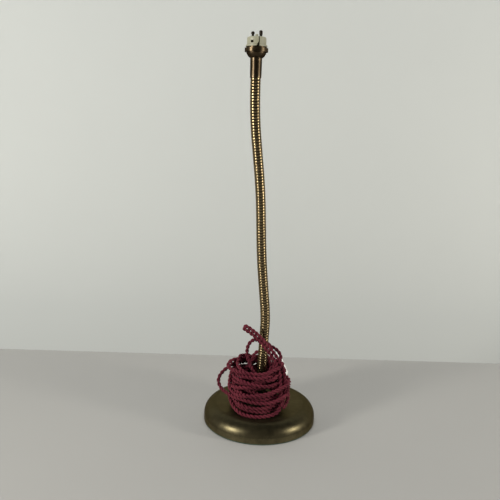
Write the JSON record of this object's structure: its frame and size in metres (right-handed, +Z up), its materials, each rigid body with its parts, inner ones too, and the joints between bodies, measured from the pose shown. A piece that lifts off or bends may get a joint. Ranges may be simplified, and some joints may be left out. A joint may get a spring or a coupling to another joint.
{
  "type": "gooseneck table lamp",
  "caption": "Brass table lamp with a round weighted base, a bendable ribbed gooseneck, a bare bayonet lampholder and a hank of red fabric flex with its plug.",
  "frame": {"origin": "centre of the felt's underside, where the base rests", "axes": "+Z up along the height, -Y towards the front, +X to the right as seen from the front"},
  "size_m": [0.15, 0.1656, 0.5052],
  "materials": {
    "aged_brass": "aged, brown in the hollows",
    "tarnished_brass": "tarnished nearly black",
    "terminal_brass": "dull",
    "cast_iron": "as cast",
    "plain_steel": "zinc plated",
    "spring_steel": "drawn wire",
    "felt": "green baize",
    "flex_fabric": "braided cotton, two cores twisted",
    "ivory_moulding": "aged ivory moulding",
    "white_plastic": "gloss",
    "dark_rubber": "matt",
    "fuse_ceramic": "matt",
    "fibre": "vulcanised fibre"
  },
  "bodies": {
    "base": {"base_cover": "aged_brass", "base_weight": "cast_iron", "cable_bush": "dark_rubber", "cord_clamp": "plain_steel", "cord_clamp_screws": "plain_steel", "felt_pad": "felt", "flex_hank": "flex_fabric", "flex_to_base": "flex_fabric", "flex_to_plug": "flex_fabric", "foot_ferrule": "aged_brass", "foot_grub_screw": "plain_steel", "neck_coil_00": "aged_brass", "neck_flex": "flex_fabric", "plug_base": "white_plastic", "plug_cord_grip": "fibre", "plug_cord_grip_screws": "plain_steel", "plug_cover": "white_plastic", "plug_cover_screw": "plain_steel", "plug_earth_pin": "terminal_brass", "plug_fuse": "fuse_ceramic", "plug_line_pin": "terminal_brass", "plug_neutral_pin": "terminal_brass", "plug_terminal_screws": "plain_steel", "stem_nut": "plain_steel", "stem_tube": "plain_steel", "stem_washer": "plain_steel"},
    "neck_01": {"neck_coil_01": "aged_brass"},
    "neck_02": {"neck_coil_02": "aged_brass"},
    "neck_03": {"neck_coil_03": "aged_brass"},
    "neck_04": {"neck_coil_04": "aged_brass"},
    "neck_05": {"neck_coil_05": "aged_brass"},
    "neck_06": {"neck_coil_06": "aged_brass"},
    "neck_07": {"neck_coil_07": "aged_brass"},
    "neck_08": {"neck_coil_08": "aged_brass"},
    "neck_09": {"neck_coil_09": "aged_brass"},
    "neck_10": {"neck_coil_10": "aged_brass"},
    "neck_11": {"neck_coil_11": "aged_brass"},
    "neck_12": {"neck_coil_12": "aged_brass"},
    "neck_13": {"neck_coil_13": "aged_brass"},
    "neck_14": {"neck_coil_14": "aged_brass"},
    "neck_15": {"neck_coil_15": "aged_brass"},
    "head": {"neck_coil_16": "aged_brass", "top_ferrule": "aged_brass", "cap_nipple": "plain_steel", "cap_nut": "plain_steel", "lampholder_cap": "aged_brass", "terminal_moulding": "ivory_moulding", "terminal_blocks": "terminal_brass", "terminal_screws": "terminal_brass", "plunger_spring_left": "spring_steel", "plunger_spring_right": "spring_steel"},
    "plunger_left": {"plunger_left": "tarnished_brass"},
    "plunger_right": {"plunger_right": "tarnished_brass"}
  },
  "joints": [
    {"name": "lower_side_1", "type": "hinge", "parent": "base", "child": "neck_01", "pos_m": [0.0039, 0, 0.1325], "axis": [0, 1, 0], "range_deg": [-15, 15], "deforming": ["neck_flex"]},
    {"name": "lower_front_1", "type": "hinge", "parent": "neck_01", "child": "neck_02", "pos_m": [0.00329, 0, 0.15324], "axis": [1, 0, 0], "range_deg": [-15, 15], "deforming": ["neck_flex"]},
    {"name": "lower_side_2", "type": "hinge", "parent": "neck_02", "child": "neck_03", "pos_m": [0.00131, 0, 0.17391], "axis": [0, 1, 0], "range_deg": [-15, 15], "deforming": ["neck_flex"]},
    {"name": "lower_front_2", "type": "hinge", "parent": "neck_03", "child": "neck_04", "pos_m": [-0.0008, 0, 0.19457], "axis": [1, 0, 0], "range_deg": [-15, 15], "deforming": ["neck_flex"]},
    {"name": "lower_side_3", "type": "hinge", "parent": "neck_04", "child": "neck_05", "pos_m": [-0.00271, 0, 0.21524], "axis": [0, 1, 0], "range_deg": [-15, 15], "deforming": ["neck_flex"]},
    {"name": "lower_front_3", "type": "hinge", "parent": "neck_05", "child": "neck_06", "pos_m": [-0.00418, 0, 0.23596], "axis": [1, 0, 0], "range_deg": [-15, 15], "deforming": ["neck_flex"]},
    {"name": "lower_side_4", "type": "hinge", "parent": "neck_06", "child": "neck_07", "pos_m": [-0.00523, 0, 0.25669], "axis": [0, 1, 0], "range_deg": [-15, 15], "deforming": ["neck_flex"]},
    {"name": "lower_front_4", "type": "hinge", "parent": "neck_07", "child": "neck_08", "pos_m": [-0.00616, 0, 0.27744], "axis": [1, 0, 0], "range_deg": [-15, 15], "deforming": ["neck_flex"]},
    {"name": "upper_side_1", "type": "hinge", "parent": "neck_08", "child": "neck_09", "pos_m": [-0.00727, 0, 0.29817], "axis": [0, 1, 0], "range_deg": [-15, 15], "deforming": ["neck_flex"]},
    {"name": "upper_front_1", "type": "hinge", "parent": "neck_09", "child": "neck_10", "pos_m": [-0.00884, 0, 0.31888], "axis": [1, 0, 0], "range_deg": [-15, 15], "deforming": ["neck_flex"]},
    {"name": "upper_side_2", "type": "hinge", "parent": "neck_10", "child": "neck_11", "pos_m": [-0.01095, 0, 0.33953], "axis": [0, 1, 0], "range_deg": [-15, 15], "deforming": ["neck_flex"]},
    {"name": "upper_front_2", "type": "hinge", "parent": "neck_11", "child": "neck_12", "pos_m": [-0.01332, 0, 0.36016], "axis": [1, 0, 0], "range_deg": [-15, 15], "deforming": ["neck_flex"]},
    {"name": "upper_side_3", "type": "hinge", "parent": "neck_12", "child": "neck_13", "pos_m": [-0.01559, 0, 0.3808], "axis": [0, 1, 0], "range_deg": [-15, 15], "deforming": ["neck_flex"]},
    {"name": "upper_front_3", "type": "hinge", "parent": "neck_13", "child": "neck_14", "pos_m": [-0.0173, 0, 0.40149], "axis": [1, 0, 0], "range_deg": [-15, 15], "deforming": ["neck_flex"]},
    {"name": "upper_side_4", "type": "hinge", "parent": "neck_14", "child": "neck_15", "pos_m": [-0.01817, 0, 0.42224], "axis": [0, 1, 0], "range_deg": [-15, 15], "deforming": ["neck_flex"]},
    {"name": "upper_front_4", "type": "hinge", "parent": "neck_15", "child": "head", "pos_m": [-0.0184, 0, 0.443], "axis": [1, 0, 0], "range_deg": [-15, 15], "deforming": ["neck_flex"]},
    {"name": "plunger_left_press", "type": "slide", "parent": "head", "child": "plunger_left", "axis": [0, 0, 1], "range_m": [-0.0024, 0], "stiffness_N_per_m": 300, "springref_m": 0.003, "deforming": ["plunger_spring_left"]},
    {"name": "plunger_right_press", "type": "slide", "parent": "head", "child": "plunger_right", "axis": [0, 0, 1], "range_m": [-0.0024, 0], "stiffness_N_per_m": 300, "springref_m": 0.003, "deforming": ["plunger_spring_right"]}
  ],
  "couplings": [
    {"joint": "lower_side_2", "follows": "lower_side_1", "ratio": 1},
    {"joint": "lower_front_2", "follows": "lower_front_1", "ratio": 1},
    {"joint": "lower_side_3", "follows": "lower_side_1", "ratio": 1},
    {"joint": "lower_front_3", "follows": "lower_front_1", "ratio": 1},
    {"joint": "lower_side_4", "follows": "lower_side_1", "ratio": 1},
    {"joint": "lower_front_4", "follows": "lower_front_1", "ratio": 1},
    {"joint": "upper_side_2", "follows": "upper_side_1", "ratio": 1},
    {"joint": "upper_front_2", "follows": "upper_front_1", "ratio": 1},
    {"joint": "upper_side_3", "follows": "upper_side_1", "ratio": 1},
    {"joint": "upper_front_3", "follows": "upper_front_1", "ratio": 1},
    {"joint": "upper_side_4", "follows": "upper_side_1", "ratio": 1},
    {"joint": "upper_front_4", "follows": "upper_front_1", "ratio": 1}
  ]
}
